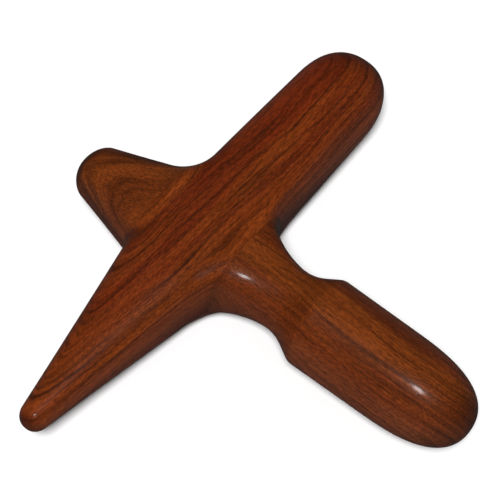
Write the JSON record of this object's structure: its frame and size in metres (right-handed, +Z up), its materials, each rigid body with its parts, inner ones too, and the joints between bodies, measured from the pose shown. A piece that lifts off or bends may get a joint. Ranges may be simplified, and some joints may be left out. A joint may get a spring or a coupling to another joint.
{
  "type": "wooden massage cross",
  "caption": "Hand-held wooden massage cross: a long bar with a thick rounded end and a narrow point, crossed by a turned grip and a short tapered stub.",
  "frame": {"origin": "on the flat underside of the bar, directly below the centre of the crossing", "axes": "+X along the bar towards its thick end, +Y towards the stub, +Z up from the flat underside"},
  "size_m": [0.1649, 0.1466, 0.0295],
  "materials": {
    "bar_wood": "satin oiled rosewood, grain along the bar",
    "grip_wood": "satin oiled rosewood, grain along the grip",
    "stub_wood": "satin oiled rosewood, grain along the stub",
    "dowel_wood": "bare pale hardwood"
  },
  "bodies": {
    "root": {"bar": "bar_wood", "grip": "grip_wood", "stub": "stub_wood", "cross_dowel": "dowel_wood"}
  },
  "joints": []
}
